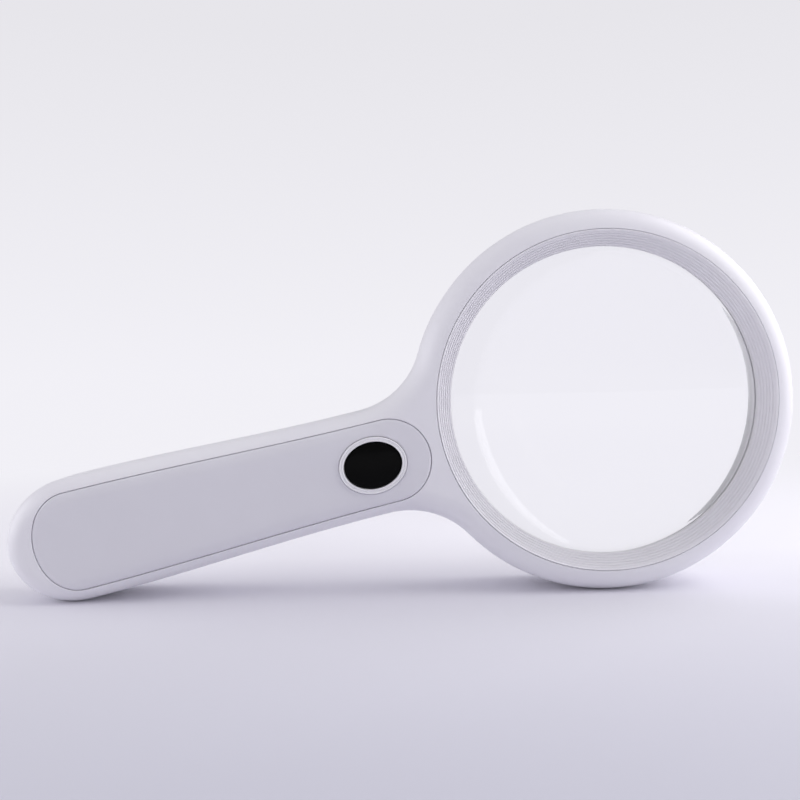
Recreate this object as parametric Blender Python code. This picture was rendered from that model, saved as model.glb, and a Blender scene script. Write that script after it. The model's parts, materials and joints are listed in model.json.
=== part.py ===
"""A battery-lit hand lens: two-part casing, light ring, push switch and three-cell battery box.

The lens frame has its origin at the middle of the lens, +x from the grip towards the lens, +y across
the grip and +z out of the front. Everything is modelled there, in millimetres, and an empty stands the
whole object on its edge: +X runs along the floor towards the lens, and the front faces -Y.
"""

from math import asin, atan2, cos, pi, radians, sin, sqrt

import bmesh
import bpy
from mathutils import Matrix, Vector

MM = 0.001
GAP = 0.3  # between pieces that touch on the real object

# Driving dimensions.
RING_R = 60.9  # outside of the casing round the lens
BEZEL_R = 52.6  # outside of the grooved ring in front of the lens
APERTURE_R = 48.0  # clear opening over the lens
LENS_R = 50.0
FOCAL_LENGTH = 200.0
ACRYLIC_INDEX = 1.49
LENS_EDGE = 2.0  # thickness of the lens at its rim
FRONT_Z = 15.5
BACK_Z = -15.0
BAND = (-8.0, 6.6)  # straight side wall, which lets the lens stand on its edge
FRONT_ROUND = 8.2  # how far the front of the casing rounds inwards
BACK_ROUND = 6.0
WALL = 1.6
SPLIT_Z = -1.0  # plane between the front and rear halves of the casing
GRIP_DROP = 1.4  # the grip's centre line passes this far below the middle of the lens
NECK_HALF = 17.0
GRIP_HALF = 19.9
NECK_X = -80.0
GRIP_X = -175.0
GRIP_END = 22.0  # length of the elliptical end of the grip
NECK_FILLET = 27.0
BEZEL_DEPTH = 4.7
COVER_X = -112.3  # seam between the rear shell and the battery cover
BUTTON_X = -76.2
BUTTON = (8.95, 7.05)  # half-lengths of the oval cap
TRIM = (10.75, 8.9)
CELL_R = 5.25
CELL_LENGTH = 44.5
CELL_PITCH = 10.8
CELL_Z = -6.3
LED_COUNT = 12
LED_RING_R = 51.2

CASING_FLOOR_Z = FRONT_Z - 3.0  # bottom of the pocket that holds the grip panel
CASING_CEILING_Z = FRONT_Z - 4.6  # inside of that pocket's floor
LIP_Z = FRONT_Z - BEZEL_DEPTH  # front of the lip over the lens
LIP = 1.5
GASKET = 0.55
LENS_EDGE_Z = LIP_Z - LIP - GASKET - 3.15  # back of the lens's rim
BACK_INSIDE_Z = BACK_Z + 1.8
PANEL_FRONT_X = -57.7
PANEL_END_X = -186.0
PANEL_HALF = (13.1, 15.6)
PANEL_END = 12.5
TRAY_FRONT_X = -118.8
TRAY_REAR_X = -170.4
TRAY_WALL = 1.2
CONTACT = 0.5
WINDOW_R = 52.8
BOARD_Z = -8.4  # back face of the light ring's board
TAB_Z = -2.6  # height of the solder tabs on the end contacts
TRAY_FLOOR = (-0.7, 0.5)
SCREW_SEAT_Z = -6.5
SKIRT_Z = -3.0  # back of the cup that holds the lens
CROWN_Z = FRONT_Z + 0.8  # the button's trim stands furthest forward
CAP_Z = (FRONT_Z - 5.0, FRONT_Z + 0.6)
SWITCH_Z = (FRONT_Z - 10.4, FRONT_Z - 7.0)
SWITCH_BOARD_Z = (FRONT_Z - 11.7, FRONT_Z - 10.7)
SHELL_SCREWS = ((-66.0, 10.5), (-104.0, 9.0))  # x, and distance each side of the grip's centre line
INNER_BOSSES = (  # x, y and lower end: two for the switch board, then two for the battery tray
    (BUTTON_X + 13.0, -GRIP_DROP, SWITCH_Z[0]),
    (BUTTON_X - 13.0, -GRIP_DROP, SWITCH_Z[0]),
    (-128.0, CELL_PITCH / 2 - GRIP_DROP, TRAY_FLOOR[1] + GAP),
    (-160.0, -CELL_PITCH / 2 - GRIP_DROP, TRAY_FLOOR[1] + GAP),
)
FINE, COARSE = 60, 48  # sides of the circles that show and of those inside
RING_STEPS, FILLET_STEPS, GRIP_STEPS, END_STEPS, ROUND_STEPS = 21, 5, 6, 7, 4

LOOKS = {
    # slot: (colour, roughness, metallic, transmission)
    "casing": ((0.78, 0.77, 0.81), 0.42, 0.0, 0.0),
    "bezel": ((0.74, 0.73, 0.77), 0.38, 0.0, 0.0),
    "acrylic": ((0.95, 0.97, 0.98), 0.02, 0.0, 1.0),
    "window": ((0.90, 0.91, 0.92), 0.35, 0.0, 0.7),
    "button": ((0.010, 0.010, 0.011), 0.12, 0.0, 0.0),
    "inner_plastic": ((0.80, 0.79, 0.81), 0.55, 0.0, 0.0),
    "rubber": ((0.82, 0.81, 0.83), 0.80, 0.0, 0.0),
    "board": ((0.03, 0.20, 0.08), 0.45, 0.0, 0.0),
    "led": ((0.85, 0.83, 0.55), 0.30, 0.0, 0.0),
    "resistor": ((0.02, 0.02, 0.02), 0.45, 0.0, 0.0),
    "switch_black": ((0.03, 0.03, 0.03), 0.50, 0.0, 0.0),
    "steel": ((0.60, 0.60, 0.62), 0.30, 1.0, 0.0),
    "cell": ((0.12, 0.13, 0.15), 0.35, 0.6, 0.0),
    "wire_red": ((0.45, 0.02, 0.02), 0.45, 0.0, 0.0),
    "wire_black": ((0.02, 0.02, 0.02), 0.45, 0.0, 0.0),
}


def clear_scene():
    for obj in list(bpy.data.objects):
        bpy.data.objects.remove(obj, do_unlink=True)


def make_look(slot):
    colour, roughness, metallic, transmission = LOOKS[slot]
    look = bpy.data.materials.new(slot)
    look.use_nodes = True
    shader = look.node_tree.nodes["Principled BSDF"]
    shader.inputs["Base Color"].default_value = (*colour, 1.0)
    shader.inputs["Roughness"].default_value = roughness
    shader.inputs["Metallic"].default_value = metallic
    shader.inputs["Transmission Weight"].default_value = transmission
    return look


# ---------------------------------------------------------------- objects


def empty(name, parent=None, place=(0.0, 0.0, 0.0)):
    """An empty at a place in millimetres, in its parent's frame."""
    made = bpy.data.objects.new(name, None)
    made.parent = parent
    made.location = Vector(place) * MM
    bpy.context.scene.collection.objects.link(made)
    return made


def add(name, bm, slot, parent):
    """The bmesh, in millimetres in its parent's frame, as an object with its own material."""
    bmesh.ops.recalc_face_normals(bm, faces=bm.faces)
    bm.transform(Matrix.Scale(MM, 4))
    mesh = bpy.data.meshes.new(name)
    bm.to_mesh(mesh)
    bm.free()
    mesh.shade_smooth()
    mesh.set_sharp_from_angle(angle=radians(30))
    mesh.materials.append(make_look(slot))
    made = bpy.data.objects.new(name, mesh)
    made.parent = parent
    bpy.context.scene.collection.objects.link(made)
    return made


def add_tool(name, bm, parent):
    """A cutter or an addition: it shapes its target and isn't a piece itself."""
    tool = add(name, bm, "inner_plastic", parent)
    tool.hide_render = True
    tool.display_type = "WIRE"
    return tool


def boolean(target, operation, tool):
    modifier = target.modifiers.new(tool.name, "BOOLEAN")
    modifier.operation = operation
    modifier.solver = "EXACT"
    modifier.object = tool


def shape(target, operation, name, bm):
    """Cuts, joins or intersects the target with the bmesh."""
    boolean(target, operation, add_tool(f"{target.name}_{name}", bm, target.parent))


# ---------------------------------------------------------------- basic shapes


def turned(profile, sides, centre=(0.0, 0.0)):
    """A solid of revolution about z. The profile's (r, z) points may start and end on the axis."""
    bm = bmesh.new()
    points = [bm.verts.new((r, 0.0, z)) for r, z in profile]
    for first, second in zip(points, points[1:]):
        bm.edges.new((first, second))
    if profile[0][0] > 0.0:
        bm.edges.new((points[-1], points[0]))
    bmesh.ops.spin(
        bm,
        geom=[*bm.verts, *bm.edges],
        cent=(0.0, 0.0, 0.0),
        axis=(0.0, 0.0, 1.0),
        angle=2.0 * pi,
        steps=sides,
        use_merge=True,
    )
    bmesh.ops.remove_doubles(bm, verts=bm.verts, dist=1e-4)
    bmesh.ops.translate(bm, verts=bm.verts, vec=(*centre, 0.0))
    return bm


def ring(inner, outer, low, high, sides):
    return turned([(inner, low), (outer, low), (outer, high), (inner, high)], sides)


def rod(radius, low, high, sides, centre=(0.0, 0.0)):
    return turned([(0.0, low), (radius, low), (radius, high), (0.0, high)], sides, centre)


def prism(outline, low, high):
    """An outline in the xy plane, extruded along z."""
    bm = bmesh.new()
    face = bm.faces.new([bm.verts.new((x, y, low)) for x, y in outline])
    grown = bmesh.ops.extrude_face_region(bm, geom=[face])["geom"]
    top = [v for v in grown if isinstance(v, bmesh.types.BMVert)]
    bmesh.ops.translate(bm, verts=top, vec=(0.0, 0.0, high - low))
    return bm


def oval(half_x, half_y, sides, centre=(0.0, 0.0)):
    turns = [2.0 * pi * i / sides for i in range(sides)]
    return [(centre[0] + half_x * cos(t), centre[1] + half_y * sin(t)) for t in turns]


def block(low, high):
    """A box between two corners."""
    low, high = Vector(low), Vector(high)
    bm = bmesh.new()
    bmesh.ops.create_cube(bm, size=1.0)
    bmesh.ops.scale(bm, verts=bm.verts, vec=high - low)
    bmesh.ops.translate(bm, verts=bm.verts, vec=(low + high) / 2.0)
    return bm


def loft(loops, is_ring=False):
    """Skins a stack of loops of equally many points. A ring joins its last loop to its first."""
    bm = bmesh.new()
    rows = [[bm.verts.new(point) for point in loop] for loop in loops]
    count = len(rows[0])
    pairs = list(zip(rows, rows[1:]))
    if is_ring:
        pairs.append((rows[-1], rows[0]))
    else:
        bm.faces.new(rows[0])
        bm.faces.new(rows[-1])
    for low, high in pairs:
        for i in range(count):
            j = (i + 1) % count
            bm.faces.new((low[i], low[j], high[j], high[i]))
    return bm


def add_wire(name, points, radius, slot, parent, roundness=2):
    """A round wire along points, closed at both ends."""
    curve = bpy.data.curves.new(name, "CURVE")
    curve.dimensions = "3D"
    curve.bevel_depth = radius * MM
    curve.bevel_resolution = roundness
    curve.use_fill_caps = True
    spline = curve.splines.new("POLY")
    spline.points.add(len(points) - 1)
    for knot, point in zip(spline.points, points):
        knot.co = (*(Vector(point) * MM), 1.0)
    curve.materials.append(make_look(slot))
    made = bpy.data.objects.new(name, curve)
    made.parent = parent
    bpy.context.scene.collection.objects.link(made)
    return made


def smooth_route(points, steps):
    """A Catmull-Rom curve through the route's own points."""
    points = [Vector(p) for p in points]
    padded = [2 * points[0] - points[1], *points, 2 * points[-1] - points[-2]]
    route = []
    for a, b, c, d in zip(padded, padded[1:], padded[2:], padded[3:]):
        for step in range(steps):
            t = step / steps
            route.append(
                b
                + 0.5 * t * (c - a)
                + t * t * (a - 2.5 * b + 2.0 * c - 0.5 * d)
                + t * t * t * (1.5 * (b - c) + 0.5 * (d - a))
            )
    return [*route, points[-1]]


def coil(radius, length, turns, per_turn=10):
    """Points of a coil spring about z, from z = 0, with closed ends."""
    points = []
    total = turns * per_turn
    for i in range(total + 1):
        share = i / total
        rise = share - sin(2.0 * pi * share) / (2.0 * pi)
        angle = 2.0 * pi * i / per_turn
        points.append((radius * cos(angle), radius * sin(angle), length * rise))
    return points


# ---------------------------------------------------------------- casing outline


def ease(value, start, end):
    """0 before start, 1 after end, and smooth between them."""
    t = min(max((value - start) / (end - start), 0.0), 1.0)
    return t * t * (3.0 - 2.0 * t)


def ease_slope(value, start, end):
    t = min(max((value - start) / (end - start), 0.0), 1.0)
    return 6.0 * t * (1.0 - t) / (end - start)


def half_outline(side):
    """(point, outward normal) from the far side of the ring to the end of the grip; side is 1 or -1."""
    made = []
    fillet_y = side * (NECK_HALF + NECK_FILLET) - GRIP_DROP
    fillet_x = -sqrt((RING_R + NECK_FILLET) ** 2 - fillet_y**2)
    meeting = atan2(fillet_y, fillet_x)
    for i in range(RING_STEPS):
        turn = meeting * i / RING_STEPS
        normal = Vector((cos(turn), sin(turn)))
        made.append((RING_R * normal, normal))
    start, end = meeting - side * pi, -side * pi / 2.0
    for i in range(FILLET_STEPS):
        turn = start + (end - start) * i / FILLET_STEPS
        normal = Vector((-cos(turn), -sin(turn)))
        made.append((Vector((fillet_x, fillet_y)) - NECK_FILLET * normal, normal))
    for i in range(GRIP_STEPS):
        x = fillet_x + (GRIP_X - fillet_x) * i / GRIP_STEPS
        half = NECK_HALF + (GRIP_HALF - NECK_HALF) * ease(x, NECK_X, GRIP_X)
        slope = (GRIP_HALF - NECK_HALF) * ease_slope(x, NECK_X, GRIP_X)
        made.append((Vector((x, side * half - GRIP_DROP)), Vector((-side * slope, side)).normalized()))
    for i in range(END_STEPS + 1):
        turn = pi / 2.0 * i / END_STEPS
        point = Vector((GRIP_X - GRIP_END * sin(turn), side * GRIP_HALF * cos(turn) - GRIP_DROP))
        normal = Vector((-sin(turn) / GRIP_END, side * cos(turn) / GRIP_HALF)).normalized()
        made.append((point, normal))
    return made


def outline():
    """The casing's outline, anticlockwise, as (point, outward normal)."""
    upper, lower = half_outline(1), half_outline(-1)
    return [*upper, *reversed(lower[1:-1])]


def pillow(levels):
    """The casing's outline stacked at each (z, inset)."""
    return loft([[(*(p - inset * n), z) for p, n in outline()] for z, inset in levels])


def rounded_levels(flat, top, inset, round_by, start):
    """(z, inset) from start over a straight wall to flat, then round a quarter ellipse to top."""
    levels = [(start, inset), (flat, inset)]
    for i in range(1, ROUND_STEPS + 1):
        turn = pi / 2.0 * i / ROUND_STEPS
        levels.append((flat + (top - flat) * sin(turn), inset + round_by * (1.0 - cos(turn))))
    return levels


def panel_outline(margin):
    """The grip panel's outline, grown by a margin: a round end at the button and an elliptical end."""
    front, back = PANEL_HALF
    front_x = PANEL_FRONT_X - front
    back_x = PANEL_END_X + PANEL_END
    points = []
    for i in range(13):
        turn = pi / 2.0 - pi * i / 12
        points.append((front_x + (front + margin) * cos(turn), (front + margin) * sin(turn)))
    for i in range(1, 7):
        x = front_x + (back_x - front_x) * i / 7
        points.append((x, -(front + (back - front) * ease(x, front_x, back_x) + margin)))
    for i in range(15):
        turn = -pi / 2.0 - pi * i / 14
        points.append((back_x + (PANEL_END + margin) * cos(turn), (back + margin) * sin(turn)))
    for i in range(6, 0, -1):
        x = front_x + (back_x - front_x) * i / 7
        points.append((x, front + (back - front) * ease(x, front_x, back_x) + margin))
    return [(x, y - GRIP_DROP) for x, y in points]


# ---------------------------------------------------------------- casing


def screw_places():
    return [(x, side * y - GRIP_DROP) for x, y in SHELL_SCREWS for side in (1, -1)]


def inner_front():
    return pillow(rounded_levels(BAND[1] - 1.0, CASING_CEILING_Z, WALL, FRONT_ROUND - WALL, SPLIT_Z - 2.0))


def inner_back():
    return pillow(rounded_levels(BAND[0], BACK_INSIDE_Z, WALL, BACK_ROUND - 0.5, SPLIT_Z + 2.0))


def make_front_shell(root):
    levels = rounded_levels(BAND[1], FRONT_Z, 0.0, FRONT_ROUND, SPLIT_Z + GAP / 2)
    shell = add("front_shell", pillow(levels), "casing", root)
    shape(shell, "DIFFERENCE", "hollow", inner_front())
    shape(shell, "DIFFERENCE", "bezel_hole", rod(BEZEL_R + GAP, BACK_Z, FRONT_Z + 1.0, FINE))
    pocket = prism(panel_outline(GAP), CASING_FLOOR_Z, FRONT_Z + 1.0)
    shape(shell, "DIFFERENCE", "pocket", pocket)
    hole = prism(oval(TRIM[0] - 0.45, TRIM[1] - 0.5, 32, (BUTTON_X, -GRIP_DROP)), 0.0, FRONT_Z)
    shape(shell, "DIFFERENCE", "button_hole", hole)
    top = CASING_CEILING_Z + 0.6
    for i, place in enumerate(screw_places()):
        shape(shell, "UNION", f"boss_{i}", rod(2.5, GAP, top, 12, place))
        shape(shell, "DIFFERENCE", f"pilot_{i}", rod(1.3, GAP - 1.0, 7.0, 10, place))
    for i, (x, y, low) in enumerate(INNER_BOSSES):
        shape(shell, "UNION", f"inner_boss_{i}", rod(2.4, low, top, 12, (x, y)))
        shape(shell, "DIFFERENCE", f"inner_pilot_{i}", rod(1.1, low - 1.0, low + 6.0, 10, (x, y)))
    return shell


def make_rear_shell(root):
    levels = rounded_levels(BAND[0], BACK_Z, 0.0, BACK_ROUND, SPLIT_Z - GAP / 2)
    shell = add("rear_shell", pillow(levels), "casing", root)
    shape(shell, "DIFFERENCE", "hollow", inner_back())
    window_hole = rod(WINDOW_R + GAP, BACK_Z - 1.0, SPLIT_Z, FINE)
    shape(shell, "DIFFERENCE", "window_hole", window_hole)
    beyond = block((GRIP_X - 40.0, -40.0, BACK_Z - 5.0), (COVER_X + GAP / 2, 40.0, 5.0))
    shape(shell, "DIFFERENCE", "seam", beyond)
    for i, place in enumerate(screw_places()):
        shape(shell, "UNION", f"tube_{i}", rod(2.9, BACK_INSIDE_Z - 0.6, 0.0, 12, place))
        well = [(0.0, BACK_Z - 1.0), (2.2, BACK_Z - 1.0), (2.2, SCREW_SEAT_Z), (1.3, SCREW_SEAT_Z)]
        well += [(1.3, 1.0), (0.0, 1.0)]
        shape(shell, "DIFFERENCE", f"well_{i}", turned(well, 12, place))
    return shell


def make_battery_cover(parent):
    levels = rounded_levels(BAND[0], BACK_Z, 0.0, BACK_ROUND, SPLIT_Z - GAP / 2)
    cover = add("battery_cover", pillow(levels), "casing", parent)
    shape(cover, "DIFFERENCE", "hollow", inner_back())
    before = block((COVER_X - GAP / 2, -80.0, BACK_Z - 5.0), (80.0, 80.0, 5.0))
    shape(cover, "DIFFERENCE", "seam", before)
    tongue_z = BACK_INSIDE_Z + GAP
    root_x, tip_x = COVER_X - 4.5, COVER_X + 5.0
    tongue = [(tip_x, tongue_z), (COVER_X - 1.5, tongue_z), (COVER_X - 1.5, tongue_z - 1.0)]
    tongue += [(root_x, tongue_z - 1.0), (root_x, tongue_z + 1.0), (tip_x, tongue_z + 1.0)]
    shape(cover, "UNION", "tongue", side_prism(tongue, 7.0))
    return cover


def side_prism(profile, half_width):
    """An (x, z) profile extruded across the grip."""
    bm = prism(profile, -half_width, half_width)
    bm.transform(Matrix.Rotation(pi / 2.0, 4, "X"))
    bmesh.ops.translate(bm, verts=bm.verts, vec=(0.0, -GRIP_DROP, 0.0))
    return bm


def make_grip_panel(root):
    panel = add("grip_panel", prism(panel_outline(0.0), CASING_FLOOR_Z + GAP, FRONT_Z + 1.0), "casing", root)
    surface = pillow(rounded_levels(BAND[1], FRONT_Z, 0.0, FRONT_ROUND, 0.0))
    shape(panel, "INTERSECT", "surface", surface)
    hole = prism(oval(TRIM[0] + GAP, TRIM[1] + GAP, 32, (BUTTON_X, -GRIP_DROP)), 0.0, FRONT_Z + 2.0)
    shape(panel, "DIFFERENCE", "button_hole", hole)
    return panel


# ---------------------------------------------------------------- optics


def make_bezel(root):
    """A cup that holds the lens: sloping front, inner lip, skirt and a flange under the casing's rim."""
    flange = (CASING_CEILING_Z - 1.8, CASING_CEILING_Z - GAP)
    rim = BEZEL_R + 1.6
    profile = [(BEZEL_R, FRONT_Z), (BEZEL_R, flange[1]), (rim, flange[1]), (rim, flange[0])]
    profile += [(BEZEL_R, flange[0]), (BEZEL_R, SKIRT_Z), (LENS_R + 0.4, SKIRT_Z), (LENS_R + 0.4, LIP_Z - LIP)]
    profile += [(APERTURE_R, LIP_Z - LIP), (APERTURE_R, LIP_Z), (BEZEL_R - 0.7, FRONT_Z)]
    return add("bezel_ring", turned(profile, FINE), "bezel", root)


def lens_curve():
    """Radius of each face of a symmetrical lens, from the thin-lens formula."""
    return 2.0 * (ACRYLIC_INDEX - 1.0) * FOCAL_LENGTH


def lens_sag(r):
    curve = lens_curve()
    return curve - sqrt(curve**2 - r**2)


def make_lens(root):
    front, back = LENS_EDGE_Z + LENS_EDGE, LENS_EDGE_Z
    radii = [LENS_R * sqrt(i / 4) for i in range(5)]
    bulge = [lens_sag(LENS_R) - lens_sag(r) for r in radii]
    profile = [(r, back - rise) for r, rise in zip(radii, bulge)]
    profile += [(r, front + rise) for r, rise in reversed(list(zip(radii, bulge)))]
    return add("lens", turned(profile, FINE), "acrylic", root)


def make_lens_seat(root):
    seat = LIP_Z - LIP - GAP
    add("lens_gasket", ring(APERTURE_R + 0.2, LENS_R + 0.1, seat - GASKET, seat, COARSE), "rubber", root)
    retainer = ring(APERTURE_R - 0.4, LENS_R + 0.1, SKIRT_Z + 0.7, LENS_EDGE_Z - 0.95, COARSE)
    add("lens_retainer", retainer, "inner_plastic", root)


# ---------------------------------------------------------------- light ring


def make_light_ring(root):
    inner, outer = APERTURE_R, WINDOW_R
    window = [(inner, BACK_Z), (outer, BACK_Z), (outer, -12.9), (outer + 1.1, -12.9), (outer + 1.1, -12.1)]
    window += [(inner + 1.4, -12.1), (inner + 1.4, -2.6), (inner, -2.6)]
    add("light_window", turned(window, FINE), "window", root)
    add("led_board", ring(49.8, 57.0, BOARD_Z, BOARD_Z + 1.2, COARSE), "board", root)
    for i in range(LED_COUNT):
        turn = 2.0 * pi * (i + 0.5) / LED_COUNT
        led = block((LED_RING_R - 1.4, -1.75, BOARD_Z - GAP - 1.9), (LED_RING_R + 1.4, 1.75, BOARD_Z - GAP))
        bmesh.ops.rotate(led, verts=led.verts, matrix=Matrix.Rotation(turn, 3, "Z"))
        add(f"led_{i + 1:02d}", led, "led", root)
    for i in range(3):
        turn = pi + radians(9.0) * (i - 1)
        chip = block((54.0, -0.8, BOARD_Z - GAP - 0.5), (55.4, 0.8, BOARD_Z - GAP))
        bmesh.ops.rotate(chip, verts=chip.verts, matrix=Matrix.Rotation(turn, 3, "Z"))
        add(f"board_resistor_{i + 1}", chip, "resistor", root)


# ---------------------------------------------------------------- switch


def make_button(slide, root):
    """The cap, its spring and the plunger are made round the button's own axis."""
    x, y = slide.location.x / MM, slide.location.y / MM
    trim_hole = (TRIM[0] - 1.5, TRIM[1] - 1.55)
    shoulder = CROWN_Z - 0.4
    levels = [(CASING_FLOOR_Z + GAP, TRIM), (shoulder, TRIM), (CROWN_Z, (TRIM[0] - 0.4, TRIM[1] - 0.4))]
    levels += [(CROWN_Z, (trim_hole[0] + 0.4, trim_hole[1] + 0.4)), (shoulder, trim_hole)]
    levels.append((CASING_FLOOR_Z + GAP, trim_hole))
    loops = [[(px, py, z) for px, py in oval(*half, 32, (x, y))] for z, half in levels]
    add("button_trim", loft(loops, is_ring=True), "casing", root)

    flange = (BUTTON[0] + 0.95, BUTTON[1] + 0.95)
    crown = (BUTTON[0] - 1.0, BUTTON[1] - 1.0)
    base, top = CAP_Z
    levels = [(base, flange), (base + 1.6, flange), (base + 1.6, BUTTON), (top - 0.4, BUTTON), (top, crown)]
    cap = add("button_cap", loft([[(*p, z) for p in oval(*half, 32)] for z, half in levels]), "button", slide)
    shape(cap, "DIFFERENCE", "spring_well", ring(2.2, 5.4, base - 1.0, base + 3.6, 24))
    shape(cap, "DIFFERENCE", "stem_end", rod(2.6, base - 1.0, base + GAP, 16))
    add_wire("button_spring", spring_route(3.7, SWITCH_Z[1] + 0.5, 4.8, 4), 0.25, "steel", slide, 1)
    add("switch_plunger", rod(1.6, SWITCH_Z[0] + 1.8, base, 16), "inner_plastic", slide)


def spring_route(radius, low, length, turns):
    return [(px, py, low + pz) for px, py, pz in coil(radius, length, turns)]


def make_switch(root):
    y = -GRIP_DROP
    low, high = SWITCH_Z
    body = block((BUTTON_X - 6.0, y - 6.0, low), (BUTTON_X + 6.0, y + 6.0, high))
    housing = add("switch_housing", body, "switch_black", root)
    shape(housing, "DIFFERENCE", "plunger_hole", rod(1.9, low + 0.4, high + 1.0, 16, (BUTTON_X, y)))
    low, high = SWITCH_BOARD_Z
    sheet = block((BUTTON_X - 15.5, y - 5.8, low), (BUTTON_X + 15.5, y + 5.8, high))
    board = add("switch_board", sheet, "board", root)
    for i, (px, py, _) in enumerate(INNER_BOSSES[:2]):
        shape(board, "DIFFERENCE", f"screw_hole_{i}", rod(1.1, low - 1.0, high + 1.0, 12, (px, py)))


# ---------------------------------------------------------------- battery box


def end_wall(x, y, half):
    """A tray wall whose lower corners are cut off to follow the cover."""
    top, corner, low = TRAY_FLOOR[0] + 0.5, CELL_Z - 1.5, CELL_Z - 4.6
    profile = [(half, top), (-half, top), (-half, corner), (-half + 2.8, low), (half - 2.8, low), (half, corner)]
    bm = prism(profile, 0.0, TRAY_WALL)
    upright = Matrix(((0.0, 0.0, 1.0, x), (1.0, 0.0, 0.0, y), (0.0, 1.0, 0.0, 0.0), (0.0, 0.0, 0.0, 1.0)))
    bm.transform(upright)
    return bm


def make_tray(root):
    """A floor under the three cells and a wall at each end, slotted for the contacts' tabs."""
    y = -GRIP_DROP
    half = 15.8
    low, high = TRAY_FLOOR
    floor = block((TRAY_REAR_X - TRAY_WALL, y - half, low), (TRAY_FRONT_X + TRAY_WALL, y + half, high))
    tray = add("battery_tray", floor, "inner_plastic", root)
    walls = {"front": TRAY_FRONT_X, "rear": TRAY_REAR_X - TRAY_WALL}
    for name, x in walls.items():
        shape(tray, "UNION", f"{name}_wall", end_wall(x, y, half))
    for name, x, cell in (("front", TRAY_FRONT_X, 1), ("rear", TRAY_REAR_X, -1)):
        slot_y = y + cell * CELL_PITCH
        slot = block((x - 3.0, slot_y - 1.6, TAB_Z - 0.6), (x + 3.0, slot_y + 1.6, TAB_Z + 0.6))
        shape(tray, "DIFFERENCE", f"{name}_slot", slot)
    for i, (px, py, _) in enumerate(INNER_BOSSES[2:]):
        shape(tray, "DIFFERENCE", f"screw_hole_{i}", rod(1.1, low - 1.0, high + 1.0, 12, (px, py)))
    return tray


def make_cells(root):
    """Three cells side by side, the middle one turned round, with a spring at each flat end."""
    front = TRAY_FRONT_X - GAP - CONTACT - GAP
    rear = TRAY_REAR_X + GAP + CONTACT + GAP
    shapes = [(0.0, 0.0), (CELL_R - 0.4, 0.0), (CELL_R, 0.4), (CELL_R, CELL_LENGTH - 1.2)]
    shapes += [(CELL_R - 0.4, CELL_LENGTH - 0.8), (1.9, CELL_LENGTH - 0.8), (1.9, CELL_LENGTH), (0.0, CELL_LENGTH)]
    for i, side in enumerate((1, 0, -1)):
        facing = -1 if i == 1 else 1
        nub_x = rear if i == 1 else front
        axle = Matrix.Rotation(facing * pi / 2.0, 4, "Y")
        start = nub_x - facing * CELL_LENGTH
        place = Matrix.Translation((start, side * CELL_PITCH - GRIP_DROP, CELL_Z))
        cell = turned(shapes, 24)
        cell.transform(place @ axle)
        add(f"battery_{i + 1}", cell, "cell", root)
        far = front if i == 1 else rear
        length = abs(start - far) - 2.0 * (GAP + 0.3)
        base = Matrix.Translation((far + facing * 0.3, side * CELL_PITCH - GRIP_DROP, CELL_Z)) @ axle
        points = [base @ Vector(p) for p in coil(2.6, length, 3)]
        add_wire(f"battery_spring_{i + 1}", points, 0.3, "steel", root, 1)


def make_contacts(root):
    """End plates in series: battery 1 to 2 at the rear, 2 to 3 at the front, and a tab out at each free end."""
    front_x, rear_x = TRAY_FRONT_X - GAP - CONTACT, TRAY_REAR_X + GAP
    plates = (
        ("contact_plus", front_x, 1, 1, 1),
        ("contact_link_front", front_x, -1, 0, 0),
        ("contact_link_rear", rear_x, 0, 1, 0),
        ("contact_minus", rear_x, -1, -1, -1),
    )
    for name, x, low_cell, high_cell, tab in plates:
        low = (x, low_cell * CELL_PITCH - 4.4 - GRIP_DROP, CELL_Z - 3.0)
        high = (x + CONTACT, high_cell * CELL_PITCH + 4.4 - GRIP_DROP, CELL_Z + 4.2)
        plate = add(name, block(low, high), "steel", root)
        if tab:
            tab_y = tab * CELL_PITCH - GRIP_DROP
            start, end = (x, x + 4.2) if tab > 0 else (x - 3.7, x + CONTACT)
            shape(plate, "UNION", "tab", block((start, tab_y - 1.2, TAB_Z - 0.2), (end, tab_y + 1.2, TAB_Z + 0.2)))


# ---------------------------------------------------------------- screws and wires


def add_screw(name, place, head_z, head_r, shaft_r, length, root):
    """Driven from the back: the head is the low end."""
    profile = [(0.0, head_z - 1.5), (head_r - 0.5, head_z - 1.5), (head_r, head_z - 1.0), (head_r, head_z)]
    profile += [(shaft_r, head_z), (shaft_r, head_z + length - 0.8), (0.0, head_z + length)]
    add(name, turned(profile, 12, place), "steel", root)


def make_screws(root):
    for i, place in enumerate(screw_places()):
        add_screw(f"shell_screw_{i + 1}", place, SCREW_SEAT_Z - GAP, 1.9, 1.0, 12.5, root)
    for i, (x, y, _) in enumerate(INNER_BOSSES[:2]):
        add_screw(f"switch_screw_{i + 1}", (x, y), SWITCH_BOARD_Z[0] - GAP, 1.6, 0.8, 5.0, root)
    for i, (x, y, _) in enumerate(INNER_BOSSES[2:]):
        add_screw(f"tray_screw_{i + 1}", (x, y), TRAY_FLOOR[0] - GAP, 1.6, 0.8, 7.4, root)


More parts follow.
